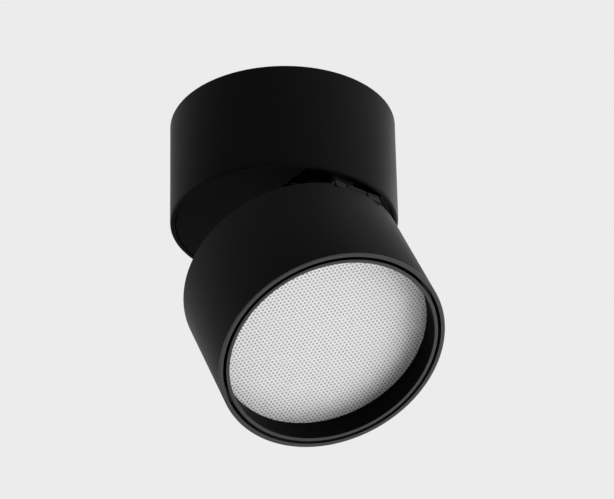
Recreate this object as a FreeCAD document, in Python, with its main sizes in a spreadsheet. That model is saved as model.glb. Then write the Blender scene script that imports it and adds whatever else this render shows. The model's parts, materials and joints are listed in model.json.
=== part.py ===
import FreeCAD, Part
import Sketcher
import math
import os
from types import SimpleNamespace

# Surface mounted ceiling spotlight: a fixed round canopy, a swivel under it that pans
# about the vertical, and a round lamp head that folds down about a hinge at its rear rim.
# Row frame: origin at the centre of the ceiling face, +Z up, hinge towards -Y, millimetres.
# Head pieces are drawn closed in the head's own frame: origin at the centre of its rear
# face, +Z towards the canopy. Their placement turns them to the stored pose.

NO_TURN = FreeCAD.Rotation()
TURNS = {
    "Z": NO_TURN,
    "X": FreeCAD.Rotation(FreeCAD.Vector(0, 1, 0), 90),
    "Y": FreeCAD.Rotation(FreeCAD.Vector(1, 0, 0), -90),
}
AXES = "xyz"
HEX = 6
SOLID_CHECK_MARGIN = 1e-6
HEAD_RATIO = 1.8    # screw head over shank, radii
KEY_RATIO = 1.3     # key across flats over shank radius
KEY_SHARE = 0.6     # depth of a key socket in its screw head

SIZES = [
    # canopy
    ("drum_radius", 50.0, "outside of the canopy and of the lamp head"),
    ("canopy_wall", 2.0, "wall of the fixed drum"),
    ("canopy_height", 50.7, "ceiling to the drum's lower lip"),
    ("edge_break", 0.4, "small bevel on the painted edges"),
    ("swivel_room", 10.2, "drum's lip to the inner floor's underside"),
    ("web_thick", 2.5, "thickness of that floor"),
    ("boss_radius", 4.0, "posts that carry the driver"),
    ("boss_height", 10.0, "height of those posts above the floor"),
    # mounting plate
    ("plate_gap", 2.0, "plate edge to the drum's wall"),
    ("plate_thick", 1.5, "steel mounting plate"),
    ("entry_radius", 10.0, "hole for the supply cable"),
    ("slot_spacing", 60.0, "ceiling screw slots, centre to centre"),
    ("slot_radius", 2.6, "half the slots' width"),
    ("slot_length", 12.0, "slots' end to end length"),
    ("tab_width", 12.0, "bent tabs that take the side screws"),
    ("tab_drop", 10.0, "tabs' reach below the ceiling"),
    ("side_screw_radius", 2.0, "socket set screws in the drum's wall"),
    ("side_screw_length", 7.0, "their length"),
    ("side_screw_drop", 6.0, "ceiling to their centre"),
    ("side_screw_azimuth", -38.0, "direction of the first one from +X, degrees"),
    ("side_screw_key", 2.0, "hexagon socket, across flats"),
    ("thread_gap", 0.05, "radial room between a screw and its thread"),
    ("clear_gap", 0.2, "radial room round a screw that only passes through"),
    # driver
    ("driver_gap", 3.0, "power supply's ears to the drum's inner wall"),
    ("driver_width", 36.0, "power supply case, along Y"),
    ("driver_height", 18.0, "case without its lid"),
    ("driver_wall", 1.5, "case wall"),
    ("lid_thick", 1.6, "case lid"),
    ("ear_length", 9.0, "fixing ears at the case's ends"),
    ("ear_width", 9.0, "their width"),
    ("ear_thick", 2.0, "their thickness"),
    ("board_thick", 1.6, "circuit boards"),
    ("board_gap", 0.5, "board edge to the case wall"),
    ("core_size", 14.0, "transformer on the board"),
    ("core_height", 11.0, "its height"),
    ("can_radius", 4.0, "capacitors on the board"),
    ("can_height", 10.0, "their height"),
    ("can_reach", 22.0, "their distance from the case's middle"),
    ("driver_screw_radius", 1.5, "driver screws"),
    ("driver_screw_length", 8.0, "their length under the head"),
    # terminal block
    ("terminal_length", 26.0, "terminal block, along X"),
    ("terminal_width", 12.0, "along Y"),
    ("terminal_height", 14.0, "its height"),
    ("terminal_gap", 11.0, "its outer side to the drum's inner wall"),
    ("terminal_mouth", 4.0, "depth of the lead mouths"),
    ("terminal_pitch", 8.0, "pole to pole"),
    ("terminal_well", 2.2, "radius of the screw wells"),
    ("terminal_well_depth", 6.0, "depth of the screw wells"),
    ("terminal_screw_radius", 1.9, "terminal screws"),
    ("terminal_screw_length", 4.0, "their length"),
    ("slit_width", 0.7, "driver slits in small screws"),
    ("slit_depth", 0.8, "their depth"),
    ("lead_radius", 1.1, "insulated leads"),
    ("lead_rise", 6.0, "leads' height above the terminal block's foot"),
    # swivel
    ("disc_gap", 0.3, "swivel disc to the drum's inner wall"),
    ("disc_inset", 0.3, "disc's underside above the drum's lip"),
    ("disc_thick", 3.0, "swivel disc"),
    ("window_half", 20.0, "half the width of the window on the hinge side"),
    ("window_start", 8.4, "window's inner end from the centre"),
    ("hub_radius", 20.0, "hub on top of the disc"),
    ("glide_thick", 1.0, "plastic glide ring between hub and floor"),
    ("glide_inset", 1.0, "glide ring's edge inside the hub's edge"),
    ("running_gap", 0.05, "running clearance of turning pieces"),
    ("pivot_radius", 5.0, "hollow pivot tube"),
    ("pivot_bore", 3.2, "its bore"),
    ("flange_radius", 8.0, "its flange under the disc"),
    ("flange_thick", 1.5, "thickness of that flange"),
    ("washer_thick", 1.0, "washer under the nut"),
    ("washer_radius", 10.0, "its outside"),
    ("nut_flats", 14.0, "pivot nut across flats"),
    ("nut_height", 5.0, "its height"),
    ("thread_end", 1.0, "tube above the nut"),
    ("stop_reach", 30.0, "turning stop's distance from the centre"),
    ("stop_radius", 1.2, "stop pin on the disc"),
    ("lug_width", 2.6, "stop lug under the floor"),
    ("lug_length", 5.0, "its radial length"),
    ("lug_height", 3.0, "its height"),
    ("bush_wall", 1.1, "rubber bush in the tube's lower end"),
    ("bush_length", 5.0, "its length inside the tube"),
    ("bush_lip", 0.8, "its lip under the flange"),
    ("bush_lip_radius", 4.6, "outside of the lip"),
    # hinge
    ("hinge_inset", 2.0, "hinge axis inside the drums' outside"),
    ("hinge_drop", 6.33, "hinge axis below the drum's lip"),
    ("hinge_rise", 1.7, "hinge axis above the head's rear face"),
    ("hinge_offset", 1.5, "middle of the knuckles from the mirror plane"),
    ("rest_tilt", 28.2, "head's stored angle from closed, degrees"),
    ("knuckle_radius", 1.8, "hinge knuckles"),
    ("inner_knuckle", 10.0, "width of the bracket's knuckle"),
    ("outer_knuckle", 6.0, "width of each of the leaf's knuckles"),
    ("knuckle_gap", 0.8, "gap between knuckles, with a washer in it"),
    ("friction_thick", 0.7, "friction washers"),
    ("friction_radius", 1.5, "their outside"),
    ("pin_radius", 0.9, "hinge pin"),
    ("pin_seat_gap", 0.02, "hinge pin in the leaf's knuckles"),
    ("arm_thick", 2.6, "bracket's flat arm"),
    ("arm_gap", 7.0, "arm's outer end to the drum's inner wall"),
    ("neck_thick", 2.9, "bracket's drop at the arm's end"),
    ("tongue_thick", 2.4, "tongue from there to the knuckle"),
    ("foot_width", 24.0, "bracket's foot under the hub"),
    ("foot_start", 13.0, "foot's inner edge from the centre"),
    ("foot_length", 6.5, "foot's length"),
    ("foot_screw_spread", 15.0, "foot screws, centre to centre"),
    ("foot_screw_radius", 1.5, "foot screws"),
    ("foot_screw_length", 4.8, "their length in the hub"),
    ("notch_margin", 1.2, "notch in the head's rim beyond the knuckles"),
    ("notch_depth", 2.1, "its depth below the rear face"),
    ("leaf_start", 2.4, "hinge axis to the leaf plate"),
    ("leaf_length", 8.0, "leaf plate from there"),
    ("leaf_front", 0.6, "leaf's flat front inside the head's surface"),
    ("leaf_screw_spread", 15.0, "leaf screws, centre to centre"),
    ("leaf_screw_radius", 1.25, "leaf screws"),
    ("leaf_screw_length", 5.5, "their length"),
    # head
    ("head_wall", 1.8, "its wall"),
    ("head_length", 54.1, "rear face to front"),
    ("rear_thick", 4.5, "rear wall"),
    ("trim_thick", 0.6, "front trim ring's flange"),
    ("shadow_gap", 0.3, "thin gap behind that flange"),
    ("trim_spigot", 0.75, "trim ring's wall inside the head"),
    ("spigot_length", 4.0, "its length behind the flange"),
    ("groove_width", 0.9, "groove between the trim ring and the baffle's front ring"),
    ("ring_width", 1.85, "baffle's front ring"),
    ("throat_draft", 0.45, "how much wider the baffle is at the diffuser"),
    ("recess_depth", 11.7, "front to the diffuser's face"),
    ("groove_depth", 8.0, "groove round the baffle's ring"),
    ("fit_gap", 0.1, "radial room of pieces fitted in the head"),
    ("diffuser_lap", 0.7, "diffuser's edge behind the baffle's throat"),
    ("diffuser_thick", 2.2, "diffuser plate"),
    ("gasket_thick", 1.6, "gasket behind it"),
    ("gasket_width", 2.4, "its radial width"),
    ("reflector_flange", 1.5, "reflector's front flange"),
    ("reflector_skin", 1.0, "reflector's wall"),
    ("reflector_throat", 10.0, "reflector's radius at the lamp"),
    ("pad_thick", 0.5, "thermal pad"),
    ("pad_inset", 2.0, "its edge inside the board's"),
    ("lead_run", 5.0, "lead grommet's middle to the metal core board"),
    ("led_radius", 8.0, "light emitting surface"),
    ("led_thick", 1.2, "its thickness"),
    ("holder_inset", 3.0, "lamp holder's edge inside the board's"),
    ("holder_thick", 4.4, "its thickness"),
    ("holder_screw_inset", 5.5, "holder screws from its edge"),
    ("holder_screw_radius", 1.25, "holder screws"),
    ("holder_screw_bite", 1.8, "their length in the rear wall"),
    ("sink_radius", 34.0, "heat sink on the rear face"),
    ("sink_gap", 2.2, "its flat edge to the lead grommet"),
    ("sink_base", 2.0, "its base"),
    ("fin_height", 5.0, "its fins"),
    ("fin_thick", 1.6, "one fin"),
    ("fin_pitch", 5.0, "fin to fin"),
    ("sink_screw_reach", 25.0, "heat sink screws from the middle"),
    ("sink_screw_radius", 1.5, "heat sink screws"),
    ("sink_post", 4.4, "posts round them"),
    ("grommet_gap", 3.8, "lead grommet to the leaf plate"),
    ("grommet_radius", 3.4, "its neck"),
    ("grommet_bore", 1.8, "its bore"),
    ("grommet_lip", 1.4, "its lips beyond the neck"),
    ("grommet_lip_thick", 1.2, "their thickness"),
    ("head_lead_radius", 0.7, "lamp leads in the head"),
    ("head_lead_spread", 1.7, "lead to lead"),
    ("head_lead_bend", 2.2, "their bend radius"),
]

FIN_COUNT = 13
TERMINAL_COUNT = 3
SIDES = (-1, 1)


class Size:
    """A length or angle: its value, and the sheet expression that gives it."""

    def __init__(self, value, text):
        self.value = value
        self.text = text

    def __add__(self, other):
        other = as_size(other)
        return Size(self.value + other.value, f"({self.text} + {other.text})")

    def __sub__(self, other):
        other = as_size(other)
        return Size(self.value - other.value, f"({self.text} - {other.text})")

    def __mul__(self, other):
        other = as_size(other)
        return Size(self.value * other.value, f"({self.text} * {other.text})")

    def __truediv__(self, other):
        other = as_size(other)
        return Size(self.value / other.value, f"({self.text} / {other.text})")

    def __neg__(self):
        return Size(-self.value, f"(0 - {self.text})")

    def __radd__(self, other):
        return as_size(other) + self

    def __rsub__(self, other):
        return as_size(other) - self

    def __rmul__(self, other):
        return as_size(other) * self


def as_size(number):
    """Give a plain number the form of a Size."""
    if isinstance(number, Size):
        return number
    return Size(number, f"({number})")


def cosine(angle):
    return Size(math.cos(math.radians(angle.value)), f"cos({angle.text} * 1 deg)")


def sine(angle):
    return Size(math.sin(math.radians(angle.value)), f"sin({angle.text} * 1 deg)")


doc = FreeCAD.newDocument("ceiling_spotlight")
sheet = doc.addObject("Spreadsheet::Sheet", "Sizes")
for row, (alias, number, note) in enumerate(SIZES, start=1):
    sheet.set(f"A{row}", alias)
    sheet.set(f"B{row}", str(number))
    sheet.setAlias(f"B{row}", alias)
    sheet.set(f"C{row}", note)
doc.recompute()
S = SimpleNamespace(**{alias: Size(number, f"Sizes.{alias}") for alias, number, note in SIZES})
nodes = {}


# ---- drawing helpers -------------------------------------------------------------------

def bind(thing, **sizes):
    """Set each property from its size, with the sheet expression kept on it."""
    for name, size in sizes.items():
        setattr(thing, name, as_size(size).value)
        thing.setExpression(name, as_size(size).text)


def place(thing, at, turn=NO_TURN):
    """Put a thing at a point of three sizes, kept as expressions."""
    point = [as_size(part) for part in at]
    thing.Placement = FreeCAD.Placement(FreeCAD.Vector(*[part.value for part in point]), turn)
    for axis, part in zip(AXES, point):
        thing.setExpression(f"Placement.Base.{axis}", part.text)


def cylinder(radius, length, at=(0, 0, 0), along="Z"):
    """A round bar that starts at a point and runs along a positive axis."""
    bar = doc.addObject("Part::Cylinder", "Bar")
    bind(bar, Radius=radius, Height=length)
    place(bar, at, TURNS[along])
    return bar


def cone(low_radius, high_radius, length, at=(0, 0, 0)):
    taper = doc.addObject("Part::Cone", "Taper")
    bind(taper, Radius1=low_radius, Radius2=high_radius, Height=length)
    place(taper, at)
    return taper


def block(across, deep, tall, at):
    """A block whose foot is centred on a point."""
    thing = doc.addObject("Part::Box", "Block")
    bind(thing, Length=across, Width=deep, Height=tall)
    place(thing, (at[0] - as_size(across) / 2, at[1] - as_size(deep) / 2, at[2]))
    return thing


def hexagon(flats, length, at, along="Z"):
    bar = doc.addObject("Part::Prism", "Hexagon")
    bar.Polygon = HEX
    bind(bar, Circumradius=as_size(flats) / 2 / math.cos(math.pi / HEX), Height=length)
    place(bar, at, TURNS[along])
    return bar


def join(*things):
    whole = doc.addObject("Part::MultiFuse", "Joined")
    whole.Shapes = list(things)
    whole.Refine = True
    return whole


def cut(base, *tools):
    """Take tools out of a base."""
    rest = doc.addObject("Part::Cut", "Cut")
    rest.Base = base
    rest.Tool = tools[0] if len(tools) == 1 else join(*tools)
    return rest


def common(base, tool):
    shared = doc.addObject("Part::MultiCommon", "Shared")
    shared.Shapes = [base, tool]
    return shared


def group(*things):
    """Keep separate solids together as one node."""
    bundle = doc.addObject("Part::Compound", "Group")
    bundle.Links = list(things)
    return bundle


def turned(points):
    """A body turned about the vertical from an outline of (radius, height) sizes."""
    body = doc.addObject("PartDesign::Body", "Turned")
    sketch = body.newObject("Sketcher::SketchObject", "Outline")
    plane = [feature for feature in body.Origin.OriginFeatures if feature.Role == "XZ_Plane"][0]
    sketch.AttachmentSupport = [(plane, "")]
    sketch.MapMode = "FlatFace"
    corners = [(as_size(radius), as_size(height)) for radius, height in points]
    spots = [FreeCAD.Vector(radius.value, height.value, 0) for radius, height in corners]
    count = len(spots)
    for index in range(count):
        sketch.addGeometry(Part.LineSegment(spots[index], spots[(index + 1) % count]), False)
    for index in range(count):
        following = (index + 1) % count
        sketch.addConstraint(Sketcher.Constraint("Coincident", index, 2, following, 1))
    for index, (radius, height) in enumerate(corners):
        hold(sketch, "DistanceX", index, radius, -2)
        hold(sketch, "DistanceY", index, height, -1)
    turn = body.newObject("PartDesign::Revolution", "Turn")
    turn.Profile = sketch
    turn.ReferenceAxis = (sketch, ["V_Axis"])
    turn.Angle = 360
    return body


def hold(sketch, kind, index, size, axis):
    """Tie the start of a line to the sketch's origin by a size, or to its axis."""
    if size.value == 0:
        sketch.addConstraint(Sketcher.Constraint("PointOnObject", index, 1, axis))
        return
    number = sketch.addConstraint(Sketcher.Constraint(kind, -1, 1, index, 1, size.value))
    sketch.setExpression(f"Constraints[{number}]", size.text)


def ring(inner, outer, low, high):
    """A plain ring or, with no inner radius, a disc."""
    return turned([(inner, low), (outer, low), (outer, high), (inner, high)])


def tube_along(points, radius, bend):
    """A round lead along straight runs joined by equal tangent arcs."""
    spots = [FreeCAD.Vector(*[as_size(part).value for part in point]) for point in points]
    bend = as_size(bend).value
    edges = []
    start = spots[0]
    for index in range(1, len(spots) - 1):
        back = (spots[index - 1] - spots[index]).normalize()
        ahead = (spots[index + 1] - spots[index]).normalize()
        half_turn = (math.pi - back.getAngle(ahead)) / 2
        setback = bend * math.tan(half_turn)
        first = spots[index] + back * setback
        last = spots[index] + ahead * setback
        inward = (back + ahead).normalize()
        middle = spots[index] + inward * (bend / math.cos(half_turn) - bend)
        edges.append(Part.LineSegment(start, first).toShape())
        edges.append(Part.Arc(first, middle, last).toShape())
        start = last
    edges.append(Part.LineSegment(start, spots[-1]).toShape())
    path = Part.Wire(edges)
    direction = (spots[1] - spots[0]).normalize()
    circle = Part.Wire([Part.Circle(spots[0], direction, as_size(radius).value).toShape()])
    return path.makePipeShell([circle], True, True)


def kept_shape(shape):
    thing = doc.addObject("Part::Feature", "Lead")
    thing.Shape = shape
    return thing


def screw(radius, length, head_radius, head_height, at, key):
    """A screw with a round head on top and a hexagon key socket in it, standing at a point."""
    below = at[2] - length
    shank = cylinder(radius, length + head_height / 2, (at[0], at[1], below))
    head = cylinder(head_radius, head_height, at)
    socket = hexagon(key, head_height, (at[0], at[1], at[2] + head_height * (1 - KEY_SHARE)))
    return cut(join(shank, head), socket)


def flat_screw(radius, length, at, key):
    """A countersunk screw whose flat head ends at a point."""
    head_height = radius
    shank = cylinder(radius, length, (at[0], at[1], at[2] - length))
    head = cone(radius, radius * 2, head_height, (at[0], at[1], at[2] - head_height))
    socket = hexagon(key, head_height, (at[0], at[1], at[2] - head_height * KEY_SHARE))
    return cut(join(shank, head), socket)


def sink_for(radius, at):
    """The cone that a countersunk screw's head leaves, with a little room."""
    room = radius + S.thread_gap
    return cone(room, room + radius, radius, (at[0], at[1], at[2] - radius))


def keep(node, thing):
    """Name a finished piece of the canopy or the swivel."""
    thing.Label = node
    nodes[node] = thing


def keep_in_head(node, thing):
    """Name a finished piece of the head and turn it to the stored pose."""
    turn = FreeCAD.Rotation(FreeCAD.Vector(-1, 0, 0), S.rest_tilt.value)
    back = hinge_reach * cosine(S.rest_tilt) - S.hinge_rise * sine(S.rest_tilt) - hinge_reach
    down = hinge_reach * sine(S.rest_tilt) + S.hinge_rise * cosine(S.rest_tilt)
    place(thing, (0, back, hinge_z - down), turn)
    thing.setExpression("Placement.Rotation.Angle", S.rest_tilt.text)
    keep(node, thing)


# ---- heights and radii that several pieces share ---------------------------------------

lip_z = -S.canopy_height
canopy_bore = S.drum_radius - S.canopy_wall
web_low = lip_z + S.swivel_room
web_top = web_low + S.web_thick
disc_low = lip_z + S.disc_inset
disc_top = disc_low + S.disc_thick
disc_radius = canopy_bore - S.disc_gap
glide_low = web_low - S.glide_thick
hub_top = glide_low - S.running_gap
washer_low = web_top + S.running_gap
nut_low = washer_low + S.washer_thick
tube_top = nut_low + S.nut_height + S.thread_end
hinge_z = lip_z - S.hinge_drop
driver_low = web_top + S.boss_height
driver_top = driver_low + S.driver_height
front_z = -S.head_length
diffuser_face = front_z + S.recess_depth
diffuser_back = diffuser_face + S.diffuser_thick
gasket_back = diffuser_back + S.gasket_thick
head_bore = S.drum_radius - S.head_wall
inside_z = -S.rear_thick
board_front = inside_z - S.pad_thick - S.board_thick
holder_front = board_front - S.holder_thick
knuckles_width = S.inner_knuckle + S.outer_knuckle * 2 + S.knuckle_gap * 2
spigot_radius = head_bore + S.trim_spigot
inlet_y = S.driver_width / 2 - S.driver_wall
lead_core = S.pivot_bore - S.bush_wall - S.thread_gap * 2
lead_z = driver_low + S.lead_rise
baffle_radius = head_bore - S.groove_width
baffle_mouth = baffle_radius - S.ring_width
baffle_throat = baffle_mouth + S.throat_draft
diffuser_radius = baffle_throat + S.diffuser_lap
driver_half = canopy_bore - S.driver_gap - S.ear_length
driver_length = driver_half * 2
post_reach = driver_half + S.ear_length / 2
terminal_reach = canopy_bore - S.terminal_gap - S.terminal_width / 2
hinge_reach = S.drum_radius - S.hinge_inset
arm_end = canopy_bore - S.arm_gap
leaf_end = hinge_reach - S.leaf_start - S.leaf_length
grommet_edge = S.grommet_radius + S.grommet_lip
grommet_reach = leaf_end - S.grommet_gap - grommet_edge
sink_flat = grommet_reach - grommet_edge - S.sink_gap
led_board_radius = grommet_reach - S.lead_run
pad_radius = led_board_radius - S.pad_inset
holder_radius = led_board_radius - S.holder_inset
holder_screw_reach = holder_radius - S.holder_screw_inset


# ---- canopy ----------------------------------------------------------------------------

def side_screw_spots():
    """The two directions of the side screws, as (azimuth, cosine, sine)."""
    first = S.side_screw_azimuth
    return [(angle, cosine(angle), sine(angle)) for angle in (first, first + 180)]


def radial_bar(radius, start, length, angle, drop):
    """A round bar that points away from the centre line, in a given direction."""
    bar = doc.addObject("Part::Cylinder", "RadialBar")
    bind(bar, Radius=radius, Height=length)
    aim = FreeCAD.Rotation(FreeCAD.Vector(0, 0, 1), angle.value).multiply(TURNS["X"])
    place(bar, (start * cosine(angle), start * sine(angle), -drop), aim)
    return bar


def make_mounting_plate():
    radius = canopy_bore - S.plate_gap
    disc = cylinder(radius, S.plate_thick, (0, 0, -S.plate_thick))
    entry = cylinder(S.entry_radius, S.plate_thick, (0, 0, -S.plate_thick))
    slots = []
    for side in SIDES:
        middle = side * S.slot_spacing / 2
        straight = S.slot_length - S.slot_radius * 2
        slots.append(block(straight, S.slot_radius * 2, S.plate_thick, (middle, 0, -S.plate_thick)))
        for end in SIDES:
            spot = (middle + end * straight / 2, 0, -S.plate_thick)
            slots.append(cylinder(S.slot_radius, S.plate_thick, spot))
    tabs = []
    holes = []
    for angle, across, along in side_screw_spots():
        reach = radius - S.plate_thick / 2
        tab = doc.addObject("Part::Box", "Tab")
        bind(tab, Length=S.plate_thick, Width=S.tab_width, Height=S.tab_drop)
        corner = radius - S.plate_thick - S.plate_gap / 2
        half = S.tab_width / 2
        spot = (corner * across + half * along, corner * along - half * across, -S.tab_drop)
        place(tab, spot, FreeCAD.Rotation(FreeCAD.Vector(0, 0, 1), angle.value))
        tab.setExpression("Placement.Rotation.Angle", angle.text)
        tabs.append(tab)
        thread = S.side_screw_radius + S.thread_gap
        holes.append(radial_bar(thread, reach - S.tab_width / 2, S.tab_width, angle, S.side_screw_drop))
    keep("mounting_plate", cut(join(disc, *tabs), entry, *slots, *holes))


def make_canopy_housing():
    radius = S.drum_radius
    edge = S.edge_break
    bore = S.pivot_radius + S.running_gap
    shell = turned([
        (bore, web_low), (canopy_bore, web_low), (canopy_bore, lip_z), (radius - edge, lip_z),
        (radius, lip_z + edge), (radius, -edge), (radius - edge, 0), (canopy_bore, 0),
        (canopy_bore, web_top), (bore, web_top),
    ])
    posts = []
    threads = []
    for side in SIDES:
        spot = side * post_reach
        posts.append(cylinder(S.boss_radius, S.boss_height, (spot, 0, web_top)))
        depth = S.driver_screw_length - S.ear_thick + S.thread_end
        thread = S.driver_screw_radius + S.thread_gap
        threads.append(cylinder(thread, depth, (spot, 0, driver_low - depth)))
    lug = block(S.lug_width, S.lug_length, S.lug_height, (0, -S.stop_reach, web_low - S.lug_height))
    holes = []
    for angle, across, along in side_screw_spots():
        passage = S.side_screw_radius + S.clear_gap
        start = canopy_bore - S.canopy_wall / 2
        holes.append(radial_bar(passage, start, S.canopy_wall * 2, angle, S.side_screw_drop))
    keep("canopy_housing", cut(join(shell, lug, *posts), *threads, *holes))


def make_canopy_screws():
    screws = []
    for angle, across, along in side_screw_spots():
        start = S.drum_radius - S.edge_break - S.side_screw_length
        bar = radial_bar(S.side_screw_radius, start, S.side_screw_length, angle, S.side_screw_drop)
        socket = doc.addObject("Part::Prism", "Socket")
        socket.Polygon = HEX
        depth = S.side_screw_key
        bind(socket, Circumradius=S.side_screw_key / 2 / math.cos(math.pi / HEX), Height=depth)
        mouth = S.drum_radius - S.edge_break - depth
        aim = FreeCAD.Rotation(FreeCAD.Vector(0, 0, 1), angle.value).multiply(TURNS["X"])
        place(socket, (mouth * across, mouth * along, -S.side_screw_drop), aim)
        screws.append(cut(bar, socket))
    keep("canopy_screws", group(*screws))


def make_driver():
    wall = S.driver_wall
    case = block(driver_length, S.driver_width, S.driver_height, (0, 0, driver_low))
    ears = []
    holes = []
    screws = []
    for side in SIDES:
        spot = side * post_reach
        ears.append(block(S.ear_length, S.ear_width, S.ear_thick, (spot, 0, driver_low)))
        passage = S.driver_screw_radius + S.clear_gap
        holes.append(cylinder(passage, S.ear_thick, (spot, 0, driver_low)))
        top = driver_low + S.ear_thick
        screws.append(screw(S.driver_screw_radius, S.driver_screw_length, S.driver_screw_radius * HEAD_RATIO,
                            S.driver_screw_radius, (spot, 0, top), S.driver_screw_radius * KEY_RATIO))
    hollow = block(driver_length - wall * 2, S.driver_width - wall * 2, S.driver_height,
                   (0, 0, driver_low + wall))
    outlet = cylinder(lead_core, wall, (0, 0, driver_low))
    inlets = [
        cylinder(S.lead_radius + S.thread_gap, wall, (side * S.terminal_pitch, inlet_y, lead_z), "Y")
        for side in SIDES
    ]
    keep("driver_case", cut(join(case, *ears), hollow, outlet, *inlets, *holes))
    keep("driver_screws", group(*screws))
    lid = block(driver_length, S.driver_width, S.lid_thick, (0, 0, driver_top))
    lip = block(driver_length - wall * 2 - S.fit_gap * 2, S.driver_width - wall * 2 - S.fit_gap * 2,
                S.lid_thick, (0, 0, driver_top - S.lid_thick))
    keep("driver_lid", join(lid, lip))
    board_low = driver_low + wall + S.board_gap
    margin = (wall + S.board_gap) * 2
    board = block(driver_length - margin, S.driver_width - margin, S.board_thick, (0, 0, board_low))
    top = board_low + S.board_thick
    core = block(S.core_size, S.core_size, S.core_height, (0, 0, top))
    cans = [cylinder(S.can_radius, S.can_height, (side * S.can_reach, 0, top)) for side in SIDES]
    feet = [cylinder(S.can_radius / 2, S.board_gap, (side * S.can_reach, 0, driver_low + wall))
            for side in SIDES]
    keep("driver_board", join(board, core, *cans, *feet))


def make_terminal():
    foot = web_top
    top = foot + S.terminal_height
    body = block(S.terminal_length, S.terminal_width, S.terminal_height, (0, terminal_reach, foot))
    wells = []
    screws = []
    inner_face = terminal_reach - S.terminal_width / 2
    for number in range(TERMINAL_COUNT):
        spot = S.terminal_pitch * (number - (TERMINAL_COUNT - 1) / 2)
        well_low = top - S.terminal_well_depth
        wells.append(cylinder(S.terminal_well, S.terminal_well_depth, (spot, terminal_reach, well_low)))
        bar = cylinder(S.terminal_screw_radius, S.terminal_screw_length, (spot, terminal_reach, well_low))
        slit_low = well_low + S.terminal_screw_length - S.slit_depth
        slit = block(S.terminal_screw_radius * 2, S.slit_width, S.slit_depth,
                     (spot, terminal_reach, slit_low))
        screws.append(cut(bar, slit))
        mouth = S.lead_radius + S.thread_gap
        depth = S.terminal_mouth
        wells.append(cylinder(mouth, depth, (spot, inner_face, lead_z), "Y"))
        outer = terminal_reach + S.terminal_width / 2 - depth
        wells.append(cylinder(mouth, depth, (spot, outer, lead_z), "Y"))
    keep("terminal_block", cut(body, *wells))
    keep("terminal_screws", group(*screws))
    leads = []
    for side in SIDES:
        start = inlet_y + S.board_gap
        length = inner_face + S.terminal_mouth - start
        leads.append(cylinder(S.lead_radius, length, (side * S.terminal_pitch, start, lead_z), "Y"))
    keep("mains_leads", group(*leads))


# ---- swivel ----------------------------------------------------------------------------

def make_swivel_disc():
    bore = S.pivot_radius + S.thread_gap
    seat = S.flange_radius + S.fit_gap
    seat_top = disc_low + S.flange_thick
    disc = turned([
        (seat, disc_low), (disc_radius - S.edge_break, disc_low), (disc_radius, disc_low + S.edge_break),
        (disc_radius, disc_top), (S.hub_radius, disc_top), (S.hub_radius, hub_top), (bore, hub_top),
        (bore, seat_top), (seat, seat_top),
    ])
    middle = -S.window_start - S.window_half
    reach = S.drum_radius
    window_low = disc_low - S.disc_inset
    window_deep = disc_top - window_low
    curve = cylinder(S.window_half, window_deep, (0, middle, window_low))
    straight = block(S.window_half * 2, reach, window_deep, (0, middle - reach / 2, window_low))
    pin_low = disc_low + S.edge_break
    stop_hole = cylinder(S.stop_radius + S.thread_gap, S.disc_thick, (0, S.stop_reach, pin_low))
    threads = [
        cylinder(S.foot_screw_radius + S.thread_gap, S.foot_screw_length, (x, y, disc_top))
        for x, y in foot_screw_spots()
    ]
    keep("swivel_disc", cut(disc, curve, straight, stop_hole, *threads))
    pin_top = glide_low - S.fit_gap
    keep("stop_pin", cylinder(S.stop_radius, pin_top - pin_low, (0, S.stop_reach, pin_low)))


def foot_screw_spots():
    middle = -S.foot_start - S.foot_length / 2
    return [(side * S.foot_screw_spread / 2, middle) for side in SIDES]


def make_pivot():
    flange_top = disc_low + S.flange_thick
    keep("pivot_tube", turned([
        (S.pivot_bore, disc_low), (S.flange_radius, disc_low), (S.flange_radius, flange_top),
        (S.pivot_radius, flange_top), (S.pivot_radius, tube_top), (S.pivot_bore, tube_top),
    ]))
    loose = S.pivot_radius + S.fit_gap
    keep("glide_ring", ring(loose, S.hub_radius - S.glide_inset, glide_low, web_low))
    keep("pivot_washer", ring(loose, S.washer_radius, washer_low, nut_low))
    nut = hexagon(S.nut_flats, S.nut_height, (0, 0, nut_low))
    thread = cylinder(S.pivot_radius + S.thread_gap, S.nut_height, (0, 0, nut_low))
    keep("pivot_nut", cut(nut, thread))
    inner = S.pivot_bore - S.bush_wall
    outer = S.pivot_bore - S.thread_gap
    keep("cable_bush", turned([
        (inner, disc_low - S.bush_lip), (S.bush_lip_radius, disc_low - S.bush_lip),
        (S.bush_lip_radius, disc_low), (outer, disc_low), (outer, disc_low + S.bush_length),
        (inner, disc_low + S.bush_length),
    ]))
    lead_low = disc_low + S.edge_break
    lead_top = driver_low + S.driver_wall
    lead = tube_along([(0, 0, lead_top), (0, 0, lead_low)], lead_core, S.lead_radius)
    keep("driver_lead", kept_shape(lead))


def hinge_bar(radius, width, start):
    """A round bar along the hinge axis, in the row frame."""
    return cylinder(radius, width, (start, -hinge_reach, hinge_z), "X")


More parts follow.
